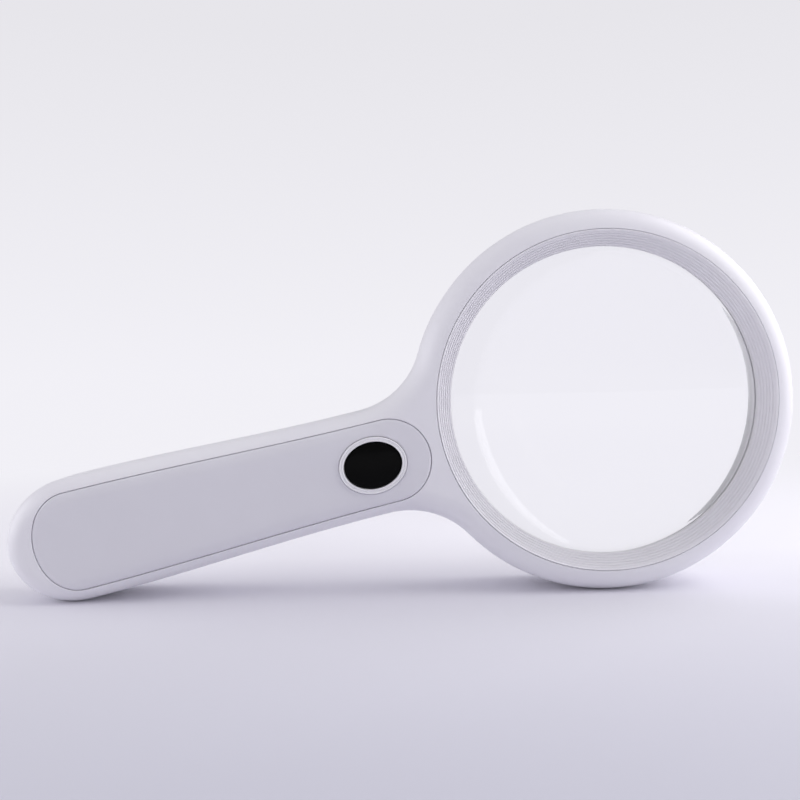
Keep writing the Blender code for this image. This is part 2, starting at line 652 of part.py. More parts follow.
def make_wires(root):
    """The leads run between the tray's floor and the casing's, and end a gap short of what they join."""
    y = -GRIP_DROP
    plus_y, minus_y = y + CELL_PITCH, y - CELL_PITCH
    switch_rear, switch_front = BUTTON_X - 15.5, BUTTON_X + 15.5
    switch_z = sum(SWITCH_BOARD_Z) / 2.0
    red = [(-114.4, plus_y, TAB_Z), (-111.0, plus_y - 0.8, -2.0), (-104.5, y + 4.8, 1.8)]
    red += [(-97.0, y + 3.2, switch_z), (switch_rear - 1.0, y + 3.0, switch_z)]
    lamp = [(switch_front + 1.0, y + 3.0, switch_z), (-58.2, y + 3.4, 2.0), (-56.6, y + 4.0, -2.0)]
    lamp += [(-55.8, y + 4.2, -6.2)]
    black = [(-174.7, minus_y, TAB_Z), (-177.2, minus_y + 1.0, -1.1), (-177.0, minus_y + 1.0, 2.1)]
    black += [(-172.0, minus_y + 0.4, 3.7), (-150.0, minus_y, 3.7), (-125.0, minus_y, 3.7)]
    black += [(-114.0, minus_y, 3.2), (-106.0, minus_y + 6.2, 2.0), (-97.0, minus_y + 5.4, -1.2)]
    black += [(-80.0, minus_y + 4.6, -2.0), (-66.0, minus_y + 5.2, -2.6), (-58.0, minus_y + 5.6, -3.8)]
    black += [(-55.6, minus_y + 5.8, -6.2)]
    for name, route, slot in (
        ("wire_battery_red", red, "wire_red"),
        ("wire_lamp_red", lamp, "wire_red"),
        ("wire_battery_black", black, "wire_black"),
    ):
        add_wire(name, smooth_route(route, 2), 0.6, slot, root)


# ---------------------------------------------------------------- assembly


def stand_up(root):
    """Turns the lens frame upright with the ring and the end of the grip both on the floor at z = 0."""
    lean = 0.0
    for _ in range(20):
        reach = sqrt((GRIP_END * sin(lean)) ** 2 + (GRIP_HALF * cos(lean)) ** 2)
        lean = asin((RING_R - reach - GRIP_DROP * cos(lean)) / -GRIP_X)
    turn = Matrix.Rotation(-lean, 4, "Y") @ Matrix.Rotation(pi / 2.0, 4, "X")
    across = [(turn @ Vector((*p, 0.0))).x for p, _ in outline()]
    middle_x = (min(across) + max(across)) / 2.0
    middle_z = (CROWN_Z + BACK_Z) / 2.0
    root.matrix_world = Matrix.Translation(Vector((-middle_x, middle_z, RING_R)) * MM) @ turn


def main():
    clear_scene()
    root = empty("hand_lens")
    button_slide = empty("button_slide", root, (BUTTON_X, -GRIP_DROP, 0.0))
    cover_slide = empty("cover_slide", root)
    make_front_shell(root)
    make_rear_shell(root)
    make_battery_cover(cover_slide)
    make_grip_panel(root)
    make_bezel(root)
    make_lens(root)
    make_lens_seat(root)
    make_light_ring(root)
    make_button(button_slide, root)
    make_switch(root)
    make_tray(root)
    make_cells(root)
    make_contacts(root)
    make_screws(root)
    make_wires(root)
    stand_up(root)


main()
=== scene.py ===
"""Looks for a battery-lit hand lens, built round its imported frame.

Pieces are drawn lying down in the lens's own frame, in millimetres: the origin is the middle of the lens,
+x runs from the grip towards the lens, +y across the grip and +z out of the front. Each finished mesh is
then stood up.
"""

import json
from math import atan2, cos, pi, radians, sin, sqrt

import bmesh
import bpy
from mathutils import Matrix, Vector
from mathutils.kdtree import KDTree


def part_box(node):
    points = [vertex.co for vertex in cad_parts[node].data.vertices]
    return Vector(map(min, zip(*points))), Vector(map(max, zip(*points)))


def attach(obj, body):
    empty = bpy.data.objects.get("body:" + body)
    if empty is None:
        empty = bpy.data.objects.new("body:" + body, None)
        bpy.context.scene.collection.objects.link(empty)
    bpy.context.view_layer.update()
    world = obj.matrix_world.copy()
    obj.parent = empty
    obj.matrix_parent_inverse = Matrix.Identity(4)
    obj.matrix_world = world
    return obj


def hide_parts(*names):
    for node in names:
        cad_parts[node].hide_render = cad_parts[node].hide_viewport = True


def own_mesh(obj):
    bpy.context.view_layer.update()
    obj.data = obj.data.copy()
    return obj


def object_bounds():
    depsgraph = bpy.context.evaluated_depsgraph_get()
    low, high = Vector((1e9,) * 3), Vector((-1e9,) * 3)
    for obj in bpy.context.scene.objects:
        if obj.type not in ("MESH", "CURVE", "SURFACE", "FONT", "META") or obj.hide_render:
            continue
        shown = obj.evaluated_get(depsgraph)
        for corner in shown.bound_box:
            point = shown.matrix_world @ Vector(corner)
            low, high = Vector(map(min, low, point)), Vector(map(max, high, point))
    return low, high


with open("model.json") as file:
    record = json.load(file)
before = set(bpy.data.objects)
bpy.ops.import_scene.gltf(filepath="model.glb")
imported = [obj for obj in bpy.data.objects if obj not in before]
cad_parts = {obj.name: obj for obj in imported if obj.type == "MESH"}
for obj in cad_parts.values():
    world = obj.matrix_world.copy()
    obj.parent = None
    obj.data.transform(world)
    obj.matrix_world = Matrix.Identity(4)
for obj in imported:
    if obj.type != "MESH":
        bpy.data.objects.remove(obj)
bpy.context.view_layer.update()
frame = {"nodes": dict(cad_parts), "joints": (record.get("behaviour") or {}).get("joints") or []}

MM = 0.001
GAP = 0.3  # clearance between hidden pieces
WALL, BACK_WALL = 1.6, 1.8
FRONT_ROUND, BACK_ROUND = 8.2, 6.0  # how far in each rounded shoulder reaches
BAND = (-8.0, 6.6)  # straight side wall between the two rounded shoulders
BACK_Z = -15.0
NECK_HALF, GRIP_HALF = 17.0, 19.9  # half widths where the grip starts and where its rounded end starts
NECK_X, GRIP_X = -80.0, -175.0
GRIP_END = 22.0  # length of the rounded end
NECK_FILLET = 27.0
PANEL_HALF = (13.1, 15.6)  # half widths at the button and at the tail
PANEL_END = 12.5
SOFT = 0.35  # radius of the edges that a mould leaves
SEAM = 0.1  # the gap seen between two mouldings that fit snugly
SPILL, CLEAR = 0.6, 0.35  # how far a cutter reaches beyond a mouth's edge, sideways and upwards
EDGE_BREAK = 0.25  # the corner taken off each side of the seam round the casing
PANEL_ROLL = 0.65  # radius of the panel's rolled edge
PANEL_ROWS = (0.9, 1.3, 1.9, 2.7, 3.6, 4.6, 5.8, 7.2, 8.8, 10.4, 11.8)  # insets of the rows across the panel
POST_R, SCREW_HEAD = 2.4, 1.5
LENS_CURVE = 196.0  # radius of each face of the lens
RIDGES = 6  # turned on the bezel's slope
GROOVE = 0.3  # depth of the line between two ridges
RIDGE = ((0, 0.03), (0.1, -0.03), (0.3, -0.05), (0.48, -0.02), (0.56, 0.04), (0.64, GROOVE), (0.9, GROOVE))
TRIM_WIDTH = (1.5, 1.55)  # along and across the grip
TRIM_SECTION = (  # share of the width from the outside, and depth below the crest
    (0.0, 0.45), (0.05, 0.16), (0.15, 0.0), (0.27, 0.04), (0.40, 0.24),
    (0.58, 0.27), (0.70, 0.08), (0.80, 0.0), (0.92, 0.10), (1.0, 0.42),
)
CAP_LIP = 0.95  # the cap's hidden flange
SPRING_WIRE, SPRING_TURNS = 0.25, 4
THREAD_PITCH = 0.7
CELL_BAND = 8  # the copper band starts this far past a cell's middle
BACKDROP_LOW = (0.885, 0.875, 0.925, 1)
BACKDROP_HIGH = (0.80, 0.79, 0.83, 1)

# ---------------------------------------------------------------- the frame's own sizes


def standing():
    """The matrix from the lens's frame, in millimetres, to the row's, in metres."""
    low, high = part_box("lens")
    slide = next(j for j in frame["joints"] if j["name"] == "cover_slide")["axis"]
    lean = atan2(-slide[2], -slide[0])
    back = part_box("rear_shell")[1].y
    origin = Vector(((low.x + high.x) / 2, back + BACK_Z * MM, (low.z + high.z) / 2))
    turn = Matrix.Rotation(-lean, 4, "Y") @ Matrix.Rotation(pi / 2, 4, "X")
    return Matrix.Translation(origin) @ turn @ Matrix.Scale(MM, 4)


STAND = standing()
LIE = STAND.inverted()


def extent(node):
    """Lowest and highest corner of a CAD node in the lens's frame."""
    points = [LIE @ v.co for v in frame["nodes"][node].data.vertices]
    return tuple(Vector(pick(p[i] for p in points) for i in range(3)) for pick in (min, max))


def middle(node):
    """The centre of a solid's box."""
    low, high = extent(node)
    return (low + high) / 2


FRONT_SHELL, REAR_SHELL, COVER = extent("front_shell"), extent("rear_shell"), extent("battery_cover")
PANEL, BEZEL, LENS = extent("grip_panel"), extent("bezel_ring"), extent("lens")
WINDOW = extent("light_window")
TRIM, CAP = extent("button_trim"), extent("button_cap")
RING_R = FRONT_SHELL[1].x
FRONT_Z = FRONT_SHELL[1].z
DROP = -(TRIM[0].y + TRIM[1].y) / 2  # the grip's centre line passes this far below the lens
LENS_R = LENS[1].x
HOLE_R = RING_R - FRONT_ROUND + 0.9
APERTURE_R = LENS_R - 1.15
WINDOW_R = WINDOW[1].x - 1.1  # the part of the window that shows, inside its flange
POCKET_Z, POST_Z, CEILING_Z, LIP_Z = FRONT_Z - 3.0, FRONT_Z - 4.0, FRONT_Z - 4.6, FRONT_Z - 4.7
FLANGE_Z = (FRONT_Z - 6.4, FRONT_Z - 4.9)
BUTTON_X = (CAP[0].x + CAP[1].x) / 2
SEAM_Z = (FRONT_SHELL[0].z, COVER[1].z)
SEAM_X = REAR_SHELL[0].x

# ---------------------------------------------------------------- shaping


def piece(name, bm, look, body="lens_body", stands_for=(), sharp=35.0):
    """Stands the drawn shape up and makes it a piece that rides on a body."""
    bm.transform(STAND)
    bmesh.ops.recalc_face_normals(bm, faces=bm.faces)
    mesh = bpy.data.meshes.new(name)
    bm.to_mesh(mesh)
    bm.free()
    mesh.shade_smooth()
    mesh.set_sharp_from_angle(angle=radians(sharp))
    for each in look if isinstance(look, (list, tuple)) else [look]:
        mesh.materials.append(each)
    made = bpy.data.objects.new(name, mesh)
    bpy.context.scene.collection.objects.link(made)
    even = made.modifiers.new("even_normals", "WEIGHTED_NORMAL")
    even.keep_sharp = True
    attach(made, body)
    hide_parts(*stands_for)
    return made


def carved(bm, *steps):
    """The shape after each ("DIFFERENCE" | "UNION" | "INTERSECT", tool) in turn."""
    helpers = []
    for i, shape in enumerate([bm, *[tool for _, tool in steps]]):
        bmesh.ops.recalc_face_normals(shape, faces=shape.faces)
        mesh = bpy.data.meshes.new(f"helper_{i}")
        shape.to_mesh(mesh)
        shape.free()
        helper = bpy.data.objects.new(f"helper_{i}", mesh)
        bpy.context.scene.collection.objects.link(helper)
        helpers.append(helper)
    for (operation, _), helper in zip(steps, helpers[1:]):
        modifier = helpers[0].modifiers.new(helper.name, "BOOLEAN")
        modifier.operation = operation
        modifier.solver = "EXACT"
        modifier.object = helper
    bpy.context.view_layer.update()
    result = bmesh.new()
    result.from_object(helpers[0], bpy.context.evaluated_depsgraph_get())
    for helper in helpers:
        mesh = helper.data
        bpy.data.objects.remove(helper)
        bpy.data.meshes.remove(mesh)
    bmesh.ops.dissolve_degenerate(result, dist=1e-4, edges=result.edges)
    return result


def spun(profile, sides=96, centre=(0.0, 0.0)):
    """A solid of revolution about z through (r, z) points, which may start and end on the axis."""
    bm = bmesh.new()
    points = [bm.verts.new((r, 0.0, z)) for r, z in profile]
    for first, second in zip(points, points[1:]):
        bm.edges.new((first, second))
    if profile[0][0] > 0:
        bm.edges.new((points[-1], points[0]))
    bmesh.ops.spin(
        bm, geom=[*bm.verts, *bm.edges], cent=(0, 0, 0), axis=(0, 0, 1), angle=2 * pi, steps=sides,
        use_merge=True,
    )
    bmesh.ops.remove_doubles(bm, verts=bm.verts, dist=1e-4)
    bmesh.ops.translate(bm, verts=bm.verts, vec=(*centre, 0.0))
    return bm


def skinned(loops, is_ring=False):
    """Joins a stack of closed loops of equally many points, and caps it unless it closes on itself."""
    bm = bmesh.new()
    rows = [[bm.verts.new(point) for point in loop] for loop in loops]
    if not is_ring:
        bm.faces.new(rows[0])
        bm.faces.new(rows[-1])
    for low, high in zip(rows, rows[1:] + (rows[:1] if is_ring else [])):
        for a, b, c, d in zip(low, low[1:] + low[:1], high[1:] + high[:1], high):
            bm.faces.new((a, b, c, d))
    return bm


def merged(*shapes):
    """Several shapes that don't touch, as one bmesh."""
    whole = bmesh.new()
    for shape in shapes:
        mesh = bpy.data.meshes.new("part")
        shape.to_mesh(mesh)
        shape.free()
        whole.from_mesh(mesh)
        bpy.data.meshes.remove(mesh)
    return whole


def block(low, high):
    """A box between two corners."""
    low, high = Vector(low), Vector(high)
    bm = bmesh.new()
    bmesh.ops.create_cube(bm, size=1.0)
    bmesh.ops.scale(bm, verts=bm.verts, vec=high - low)
    bmesh.ops.translate(bm, verts=bm.verts, vec=(low + high) / 2)
    return bm


def softened(bm, width, segments=2, least=30.0):
    """Rounds the edges that turn by more than an angle."""
    edges = [e for e in bm.edges if len(e.link_faces) == 2 and e.calc_face_angle(0.0) > radians(least)]
    bmesh.ops.bevel(
        bm, geom=edges, offset=width, offset_type="OFFSET", segments=segments,
        profile=0.5, affect="EDGES", clamp_overlap=True, material=-1,
    )
    return bm


def oval(half_x, half_y, sides=72, centre=(0.0, 0.0)):
    """Points round an ellipse."""
    turns = [2 * pi * i / sides for i in range(sides)]
    return [(centre[0] + half_x * cos(t), centre[1] + half_y * sin(t)) for t in turns]


def ease(value, start, end):
    """0 before the start, 1 after the end and a smooth rise between them."""
    t = min(max((value - start) / (end - start), 0.0), 1.0)
    return t * t * (3 - 2 * t)


def ease_slope(value, start, end):
    """How fast ease rises at a value."""
    t = min(max((value - start) / (end - start), 0.0), 1.0)
    return 6 * t * (1 - t) / (end - start)


# ---------------------------------------------------------------- casing outline


def half_outline(side, fine):
    """(point, outward normal) from the far side of the ring to the end of the grip; side is 1 or -1."""
    made = []
    fillet_y = side * (NECK_HALF + NECK_FILLET) - DROP
    fillet_x = -sqrt((RING_R + NECK_FILLET) ** 2 - fillet_y**2)
    meeting = atan2(fillet_y, fillet_x)
    steps = 22 * fine
    for i in range(steps):
        turn = meeting * i / steps
        normal = Vector((cos(turn), sin(turn)))
        made.append((RING_R * normal, normal))
    start, end = meeting - side * pi, -side * pi / 2
    steps = 6 * fine
    for i in range(steps):
        turn = start + (end - start) * i / steps
        normal = Vector((-cos(turn), -sin(turn)))
        made.append((Vector((fillet_x, fillet_y)) - NECK_FILLET * normal, normal))
    steps = 9 * fine
    for i in range(steps):
        x = fillet_x + (GRIP_X - fillet_x) * i / steps
        half = NECK_HALF + (GRIP_HALF - NECK_HALF) * ease(x, NECK_X, GRIP_X)
        slope = (GRIP_HALF - NECK_HALF) * ease_slope(x, NECK_X, GRIP_X)
        made.append((Vector((x, side * half - DROP)), Vector((-side * slope, side)).normalized()))
    steps = 8 * fine
    for i in range(steps + 1):
        turn = pi / 2 * i / steps
        point = Vector((GRIP_X - GRIP_END * sin(turn), side * GRIP_HALF * cos(turn) - DROP))
        made.append((point, Vector((-sin(turn) / GRIP_END, side * cos(turn) / GRIP_HALF)).normalized()))
    return made


def outline(fine=4):
    """The casing's outline from the front, all the way round."""
    upper, lower = half_outline(1, fine), half_outline(-1, fine)
    return [*upper, *reversed(lower[1:-1])]


def pillow(levels, fine=4):
    """The casing's outline stacked at each (z, inset)."""
    return skinned([[(*(p - inset * n), z) for p, n in outline(fine)] for z, inset in levels])


def shoulder(start, flat, top, inset, round_by, steps=14):
    """(z, inset) up a straight wall from start to flat, then round a quarter ellipse to top."""
    levels = [(start, inset), (flat, inset)]
    for i in range(1, steps + 1):
        turn = pi / 2 * i / steps
        levels.append((flat + (top - flat) * sin(turn), inset + round_by * (1 - cos(turn))))
    return levels


def panel_outline(margin, fine=4):
    """The grip panel's outline, grown by a margin: a round end at the button and an elliptical end."""
    front, back = PANEL_HALF
    front_x = PANEL[1].x - front
    back_x = PANEL[0].x + PANEL_END
    points = []
    steps = 12 * fine
    for i in range(steps + 1):
        turn = pi / 2 - pi * i / steps
        points.append((front_x + (front + margin) * cos(turn), (front + margin) * sin(turn)))
    along = 7 * fine
    sides = [front_x + (back_x - front_x) * i / along for i in range(1, along)]
    half = [front + (back - front) * ease(x, front_x, back_x) + margin for x in sides]
    points += [(x, -h) for x, h in zip(sides, half)]
    for i in range(steps + 1):
        turn = -pi / 2 - pi * i / steps
        points.append((back_x + (PANEL_END + margin) * cos(turn), (back + margin) * sin(turn)))
    points += [(x, h) for x, h in reversed(list(zip(sides, half)))]
    return [(x, y - DROP) for x, y in points]


EDGE = KDTree(len(outline(40)))
for index, (place, _) in enumerate(outline(40)):
    EDGE.insert((*place, 0.0), index)
EDGE.balance()


def crown(x, y):
    """Height of the casing's front over a point: flat inside, rounding off towards the outline."""
    inset = EDGE.find((x, y, 0.0))[2]
    share = min(inset / FRONT_ROUND, 1.0)
    return BAND[1] + (FRONT_Z - BAND[1]) * sqrt(1 - (1 - share) ** 2)


# ---------------------------------------------------------------- materials


def effect(name, inputs, outputs):
    """A node group with named sockets: (group, its input node, its output node)."""
    group = bpy.data.node_groups.new(name, "ShaderNodeTree")
    for label, kind, default in inputs:
        socket = group.interface.new_socket(label, in_out="INPUT", socket_type=kind)
        socket.default_value = default
    for label, kind in outputs:
        group.interface.new_socket(label, in_out="OUTPUT", socket_type=kind)
    return group, group.nodes.new("NodeGroupInput"), group.nodes.new("NodeGroupOutput")


def add(tree, kind, **settings):
    """A new shader node with its settings."""
    node = tree.nodes.new(kind)
    for key, value in settings.items():
        setattr(node, key, value)
    return node


def noise(tree, scale, detail, coordinates):
    """A noise node whose scale is a number or a socket."""
    node = add(tree, "ShaderNodeTexNoise")
    node.inputs["Detail"].default_value = detail
    if isinstance(scale, (int, float)):
        node.inputs["Scale"].default_value = scale
    else:
        tree.links.new(scale, node.inputs["Scale"])
    tree.links.new(coordinates, node.inputs["Vector"])
    return node


def spread(tree, source, low, high, start=0.0, end=1.0, **settings):
    """Maps start..end to a range whose ends are numbers or sockets."""
    node = add(tree, "ShaderNodeMapRange", **settings)
    node.inputs["From Min"].default_value, node.inputs["From Max"].default_value = start, end
    tree.links.new(source, node.inputs["Value"])
    for label, limit in (("To Min", low), ("To Max", high)):
        if isinstance(limit, (int, float)):
            node.inputs[label].default_value = limit
        else:
            tree.links.new(limit, node.inputs[label])
    return node.outputs[0]


def bumped(tree, height, strength, distance):
    """The normal over a height; strength is a number or a socket."""
    node = add(tree, "ShaderNodeBump")
    node.inputs["Distance"].default_value = distance
    if isinstance(strength, (int, float)):
        node.inputs["Strength"].default_value = strength
    else:
        tree.links.new(strength, node.inputs["Strength"])
    tree.links.new(height, node.inputs["Height"])
    return node.outputs["Normal"]


def shared(tree, share, first, second):
    """Two shaders mixed by a share."""
    node = add(tree, "ShaderNodeMixShader")
    for socket, source in zip(node.inputs, (share, first, second)):
        tree.links.new(source, socket)
    return node.outputs[0]


def blended(tree, share, first, second):
    """Two colours, or sockets that give them, mixed by a share."""
    node = add(tree, "ShaderNodeMix", data_type="RGBA")
    tree.links.new(share, node.inputs["Factor"])
    for label, end in (("A", first), ("B", second)):
        socket = next(s for s in node.inputs if s.name == label and s.type == "RGBA")
        if isinstance(end, tuple):
            socket.default_value = end
        else:
            tree.links.new(end, socket)
    return next(s for s in node.outputs if s.type == "RGBA")


def make_moulded():
    """Fine spark grain, a slow drift of tone and faint rubbed patches, as on any moulded or painted piece."""
    group, given, result = effect(
        "moulded_surface",
        [
            ("Colour", "NodeSocketColor", (0.8, 0.8, 0.8, 1)),
            ("Shade", "NodeSocketColor", (0.7, 0.7, 0.7, 1)),
            ("Roughness", "NodeSocketFloat", 0.4),
            ("Polish", "NodeSocketFloat", 0.3),
            ("Grain", "NodeSocketFloat", 2600.0),
            ("Depth", "NodeSocketFloat", 0.1),
        ],
        [("Colour", "NodeSocketColor"), ("Roughness", "NodeSocketFloat"), ("Normal", "NodeSocketVector")],
    )
    place = add(group, "ShaderNodeTexCoord").outputs["Object"]
    drift = noise(group, 38.0, 3.0, place).outputs["Fac"]
    rubbed = noise(group, 150.0, 4.0, place).outputs["Fac"]
    grain = noise(group, given.outputs["Grain"], 2.0, place).outputs["Fac"]
    tone = spread(group, drift, 0.0, 1.0, 0.35, 0.65)
    colour = blended(group, tone, given.outputs["Shade"], given.outputs["Colour"])
    polish = spread(group, rubbed, given.outputs["Polish"], given.outputs["Roughness"], 0.3, 0.7)
    group.links.new(colour, result.inputs["Colour"])
    group.links.new(polish, result.inputs["Roughness"])
    group.links.new(bumped(group, grain, given.outputs["Depth"], 0.00006), result.inputs["Normal"])
    return group


MOULDED = make_moulded()


def shader_of(name):
    """A new material with its node tree and its main shader."""
    look = bpy.data.materials.new(name)
    look.use_nodes = True
    return look, look.node_tree, look.node_tree.nodes["Principled BSDF"]


def moulded(name, colour, shade, roughness=0.4, polish=0.3, grain=2600.0, depth=0.1, **fixed):
    """A material on the shared moulded surface; fixed values go on the shader's own sockets."""
    look, tree, shader = shader_of(name)
    surface = add(tree, "ShaderNodeGroup", node_tree=MOULDED)
    surface.inputs["Colour"].default_value = (*colour, 1)
    surface.inputs["Shade"].default_value = (*shade, 1)
    for label, value in (("Roughness", roughness), ("Polish", polish), ("Grain", grain), ("Depth", depth)):
        surface.inputs[label].default_value = value
    tree.links.new(surface.outputs["Colour"], shader.inputs["Base Color"])
    tree.links.new(surface.outputs["Roughness"], shader.inputs["Roughness"])
    tree.links.new(surface.outputs["Normal"], shader.inputs["Normal"])
    for label, value in fixed.items():
        shader.inputs[label.replace("_", " ")].default_value = value
    return look


def make_board_look():
    """Green lacquer that stands a little higher over the copper."""
    look, tree, shader = shader_of("lacquered_board")
    place = add(tree, "ShaderNodeTexCoord").outputs["Object"]
    cells = add(tree, "ShaderNodeTexVoronoi", feature="DISTANCE_TO_EDGE")
    cells.inputs["Scale"].default_value = 330.0
    tree.links.new(place, cells.inputs["Vector"])
    track = spread(tree, cells.outputs["Distance"], 0.0, 1.0, 0.05, 0.09)
    colour = blended(tree, track, (0.03, 0.16, 0.07, 1), (0.02, 0.10, 0.045, 1))
    tree.links.new(colour, shader.inputs["Base Color"])
    tree.links.new(bumped(tree, track, 0.3, 0.00005), shader.inputs["Normal"])
    shader.inputs["Roughness"].default_value = 0.35
    shader.inputs["Coat Weight"].default_value = 0.4
    return look


def make_clear_look(name, colour, roughness, haze, transmission, index, bump_depth):
    """A clear or frosted moulding: its haze varies a little over the surface."""
    look, tree, shader = shader_of(name)
    shader.inputs["Base Color"].default_value = (*colour, 1)
    shader.inputs["Transmission Weight"].default_value = transmission
    shader.inputs["IOR"].default_value = index
    place = add(tree, "ShaderNodeTexCoord").outputs["Object"]
    smear = noise(tree, 60.0, 3.0, place)
    haziness = spread(tree, smear.outputs["Fac"], roughness, haze, 0.45, 0.75)
    tree.links.new(haziness, shader.inputs["Roughness"])
    if bump_depth:
        grain = noise(tree, 1900.0, 2.0, place)
        tree.links.new(bumped(tree, grain.outputs["Fac"], bump_depth, 0.00005), shader.inputs["Normal"])
    return look


CASING = moulded("casing_satin", (0.83, 0.82, 0.865), (0.815, 0.80, 0.855), 0.46, 0.38, 2600, 0.12)
# painted shade: the grip panel is the casing's white plastic made darker, so that its front face reads as
# shaded
SHADED_PANEL_LOOK = moulded("panel_satin_painted_shade", (0.745, 0.733, 0.79), (0.73, 0.718, 0.775), 0.50, 0.42, 2300, 0.16)
BEZEL_LOOK = moulded("bezel_satin", (0.85, 0.835, 0.875), (0.835, 0.82, 0.865), 0.40, 0.30, 3400, 0.03)
TRIM_LOOK = moulded("trim_satin", (0.86, 0.85, 0.88), (0.84, 0.83, 0.87), 0.28, 0.20, 3400, 0.06)
CAP_LOOK = moulded(
    "gloss_black", (0.002, 0.002, 0.002), (0.003, 0.003, 0.003), 0.10, 0.05, 1800, 0.03,
    Specular_IOR_Level=0.05,
)
INNER = moulded("inner_plastic", (0.90, 0.89, 0.91), (0.86, 0.85, 0.87), 0.60, 0.45, 1500, 0.25)
RUBBER = moulded("white_silicone", (0.84, 0.83, 0.85), (0.78, 0.77, 0.79), 0.75, 0.60, 1800, 0.3)
SWITCH = moulded("switch_plastic", (0.025, 0.025, 0.027), (0.016, 0.016, 0.017), 0.50, 0.35, 1700, 0.25)
CHIP = moulded("chip_ceramic", (0.016, 0.016, 0.017), (0.030, 0.030, 0.032), 0.50, 0.35, 3000, 0.2)
NICKEL = moulded("nickel_plate", (0.62, 0.60, 0.57), (0.50, 0.49, 0.47), 0.34, 0.20, 900, 0.12, Metallic=1.0)
ZINC = moulded("zinc_screw", (0.55, 0.55, 0.56), (0.42, 0.42, 0.43), 0.38, 0.24, 1500, 0.2, Metallic=1.0)
SLEEVE = moulded(
    "cell_sleeve", (0.015, 0.017, 0.022), (0.022, 0.024, 0.030), 0.26, 0.16, 900, 0.05, Coat_Weight=0.5
)
COPPER = moulded("cell_band", (0.62, 0.33, 0.16), (0.54, 0.28, 0.13), 0.30, 0.18, 900, 0.05, Metallic=0.7)
RED_WIRE = moulded("red_insulation", (0.42, 0.018, 0.016), (0.32, 0.012, 0.012), 0.48, 0.34, 2200, 0.15)
BLACK_WIRE = moulded("black_insulation", (0.016, 0.016, 0.017), (0.028, 0.028, 0.030), 0.50, 0.36, 2200, 0.15)
LAMP = moulded("lamp_ceramic", (0.80, 0.79, 0.76), (0.74, 0.73, 0.70), 0.45, 0.35, 3000, 0.1)
PHOSPHOR = moulded("lamp_phosphor", (0.86, 0.74, 0.22), (0.78, 0.62, 0.15), 0.35, 0.25, 2600, 0.3)
BOARD = make_board_look()
ACRYLIC = make_clear_look("clear_acrylic", (0.985, 0.985, 1.0), 0.0, 0.012, 1.0, 1.49, 0.0)
FROSTED = make_clear_look("frosted_acrylic", (0.96, 0.96, 0.97), 0.30, 0.42, 0.45, 1.49, 0.3)

# ---------------------------------------------------------------- casing


def screw_places():
    """The middles of the four casing screws."""
    return [middle(f"shell_screw_{i}") for i in range(1, 5)]


def soft_edge(radius=SOFT):
    """(margin, depth) round a soft edge, from where the wall ends to just short of the surface."""
    return [(radius * (1 - cos(t)), radius * (1 - sin(t))) for t in (0.0, 0.35, 0.7, 1.05)]


def flare(radius, surface, out):
    """The end of a round cutter's profile, which opens in a soft edge; out is the way it faces along z."""
    made = [(radius + margin, surface - out * depth) for margin, depth in soft_edge()]
    above = surface + out * CLEAR
    return [*made, (radius + SOFT + SPILL, above), (0.0, above)]


def rim_tool(points_at, low):
    """A cutter whose outline is points_at(margin) and whose mouth follows the crown in a soft edge."""
    loops = [[(*p, low) for p in points_at(0.0)]]
    for margin, depth in soft_edge():
        loops.append([(x, y, crown(x, y) - depth) for x, y in points_at(margin)])
    beyond = points_at(SOFT + SPILL)
    loops.append([(x, y, crown(x, y) + CLEAR) for x, y in beyond])
    loops.append([(x, y, FRONT_Z + 1.0) for x, y in beyond])
    return skinned(loops)


def trim_oval(margin):
    """The button trim's outline grown by a margin, as a function of any further growth."""
    half = (TRIM[1] - TRIM[0]) / 2
    return lambda grown: oval(half.x + margin + grown, half.y + margin + grown, 72, (BUTTON_X, -DROP))


def make_front_casing():
    """The front half, with its mouth for the bezel, the panel's pocket and a post for every screw."""
    levels = shoulder(SEAM_Z[0], BAND[1], FRONT_Z, 0.0, FRONT_ROUND)
    levels[0] = (SEAM_Z[0], EDGE_BREAK)
    levels.insert(1, (SEAM_Z[0] + EDGE_BREAK, 0.0))
    hollow = pillow(shoulder(SEAM_Z[0] - 1, BAND[1] - 1, CEILING_Z, WALL, FRONT_ROUND - WALL, 5), 2)
    mouth = [(0.0, -30.0), (HOLE_R, -30.0), *flare(HOLE_R, FRONT_Z, 1)]
    pocket = rim_tool(lambda grown: panel_outline(SEAM + grown), POCKET_Z)
    switch_hole = skinned([[(*p, z) for p in trim_oval(-0.5)(0.0)] for z in (0.0, FRONT_Z + 1)])
    posts, pilots = [], []
    for place in screw_places():
        posts.append(spun([(0, GAP), (2.5, GAP), (2.5, POST_Z), (0, POST_Z)], 24, place.xy))
        pilots.append(spun([(0, -1), (1.3, -1), (1.3, 7), (0, 7)], 20, place.xy))
    for name in ("switch_screw_1", "switch_screw_2", "tray_screw_1", "tray_screw_2"):
        place, head = middle(name), extent(name)[0].z + SCREW_HEAD
        low = head + (2.0 if name.startswith("tray") else 1.9)
        posts.append(spun([(0, low), (POST_R, low), (POST_R, POST_Z), (0, POST_Z)], 24, place.xy))
        pilots.append(spun([(0, low - 1), (1.1, low - 1), (1.1, low + 6), (0, low + 6)], 20, place.xy))
    shell = carved(
        pillow(levels),
        ("DIFFERENCE", hollow),
        ("UNION", merged(*posts)),
        ("DIFFERENCE", merged(*pilots)),
        ("DIFFERENCE", spun(mouth, 192)),
        ("DIFFERENCE", pocket),
        ("DIFFERENCE", switch_hole),
    )
    piece("front_casing", shell, CASING, stands_for=["front_shell"])


def make_back_half():
    """One rounded back and the hollow in it, before the window, the seam and the screws are cut."""
    levels = shoulder(SEAM_Z[1], BAND[0], BACK_Z, 0.0, BACK_ROUND)
    levels[0] = (SEAM_Z[1], EDGE_BREAK)
    levels.insert(1, (SEAM_Z[1] - EDGE_BREAK, 0.0))
    hollow = pillow(shoulder(1.0, BAND[0], BACK_Z + BACK_WALL, WALL, BACK_ROUND - 0.5, 5), 2)
    return pillow(levels), hollow


